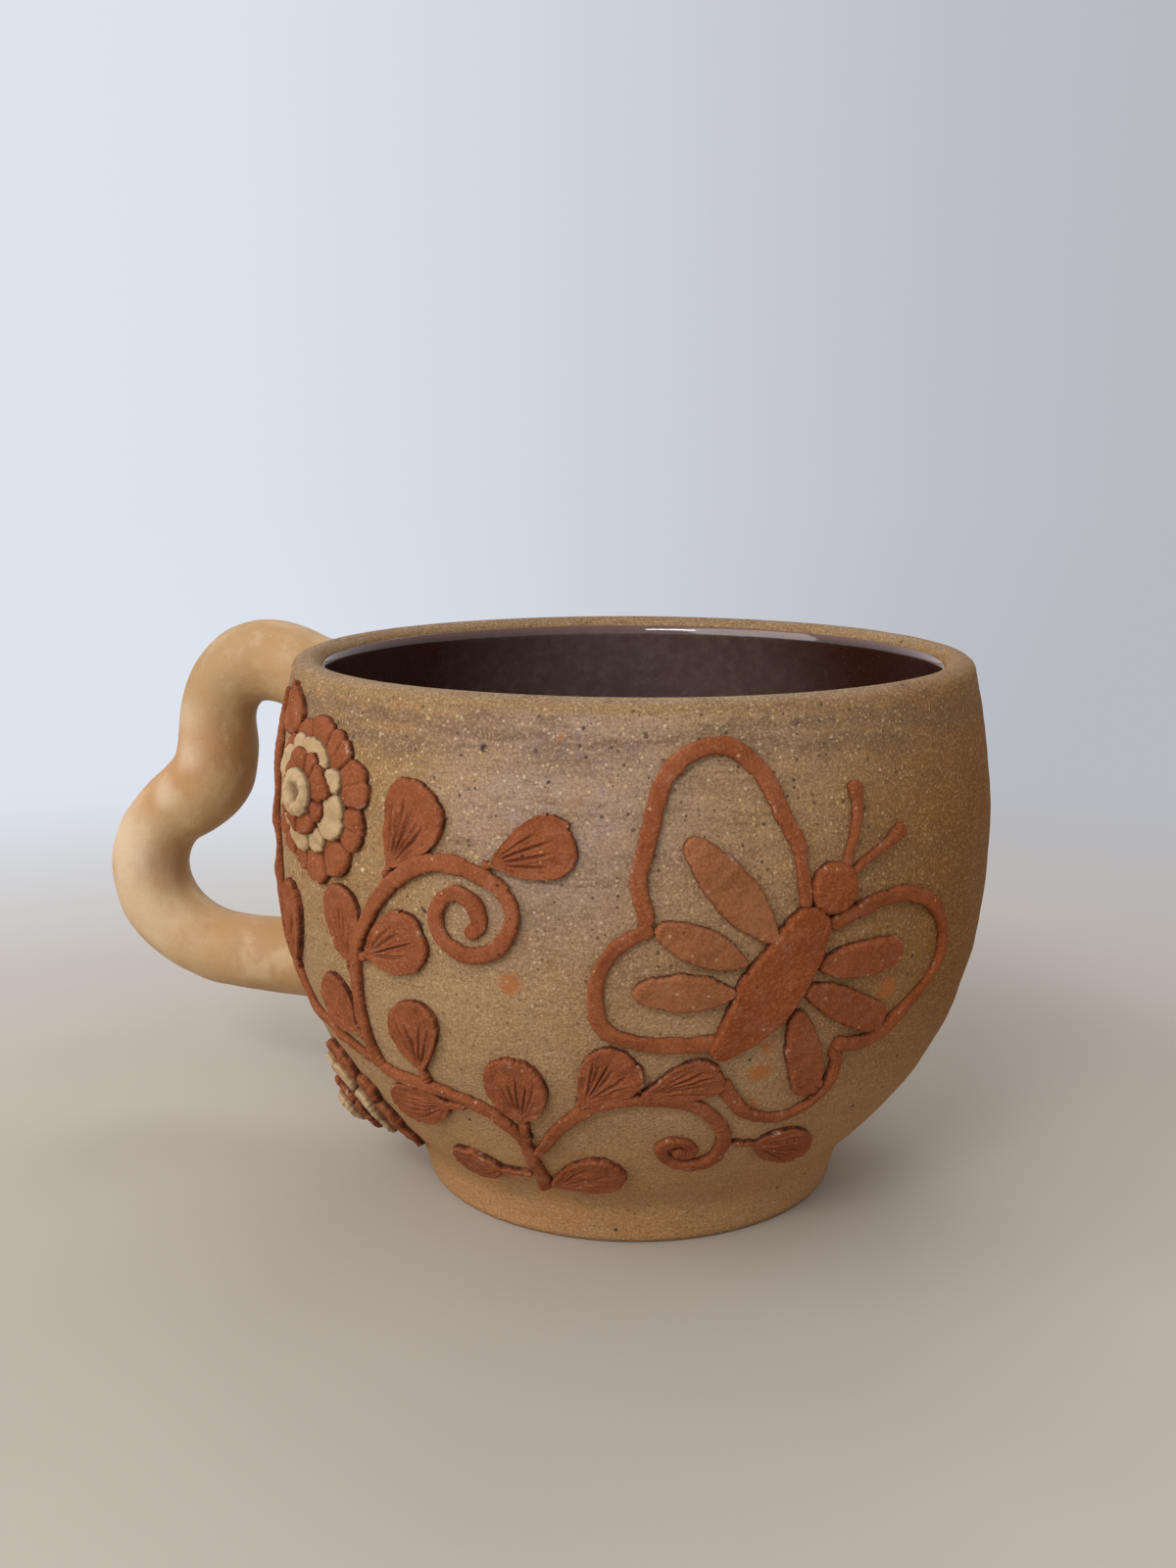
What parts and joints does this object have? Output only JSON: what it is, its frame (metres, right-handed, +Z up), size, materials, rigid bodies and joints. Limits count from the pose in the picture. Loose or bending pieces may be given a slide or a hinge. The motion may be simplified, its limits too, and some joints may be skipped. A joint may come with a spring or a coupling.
{
  "type": "mug",
  "caption": "Stoneware mug with a rolled two-lobed handle, a glazed inside and an applied relief of a butterfly, scrolling vines, leaves and flowers.",
  "frame": {"origin": "centre of the foot ring, in the plane that the mug stands on", "axes": "+Z up through the mouth, -X from the axis of the cup through the handle, -Y to the side that carries the relief"},
  "size_m": [0.1456, 0.108, 0.0827],
  "materials": {
    "buff_clay": "unglazed sandy buff clay with fine pale, yellow and dark grog, matt",
    "handle_clay": "smoothed unglazed tan clay, matt with a faint sheen",
    "red_clay": "unglazed terracotta-red clay, matt",
    "petal_clay": "unglazed pale buff clay, matt",
    "brown_glaze": "glossy dark brown glaze"
  },
  "bodies": {
    "root": {"cup_body": "buff_clay", "handle": "handle_clay", "interior_glaze": "brown_glaze", "butterfly_body": "red_clay", "butterfly_head": "red_clay", "left_antenna": "red_clay", "right_antenna": "red_clay", "upper_left_wing_coil": "red_clay", "lower_left_wing_coil": "red_clay", "upper_right_wing_coil": "red_clay", "lower_right_wing_coil": "red_clay", "left_vine": "red_clay", "right_vine": "red_clay", "side_vine": "red_clay", "upper_left_wing_petal": "red_clay", "middle_left_wing_petal": "red_clay", "lower_left_wing_petal": "red_clay", "upper_right_wing_petal": "red_clay", "middle_right_wing_petal": "red_clay", "lower_right_wing_petal": "red_clay", "scroll_top_leaf": "red_clay", "scroll_right_leaf": "red_clay", "scroll_inner_leaf": "red_clay", "left_branch_leaf": "red_clay", "fork_leaf": "red_clay", "right_branch_first_leaf": "red_clay", "right_branch_second_leaf": "red_clay", "right_scroll_leaf": "red_clay", "foot_right_leaf": "red_clay", "foot_left_leaf": "red_clay", "left_branch_under_leaf": "red_clay", "left_stem_leaf": "red_clay", "side_vine_leaf": "red_clay", "side_fork_leaf": "red_clay", "rim_leaf": "red_clay", "upper_flower_outer_petals": "red_clay", "upper_flower_inner_petals": "red_clay", "lower_flower_outer_petals": "red_clay", "lower_flower_inner_petals": "red_clay", "upper_flower_middle_petals": "petal_clay", "upper_flower_button": "petal_clay", "lower_flower_middle_petals": "petal_clay", "lower_flower_button": "petal_clay"}
  },
  "joints": []
}
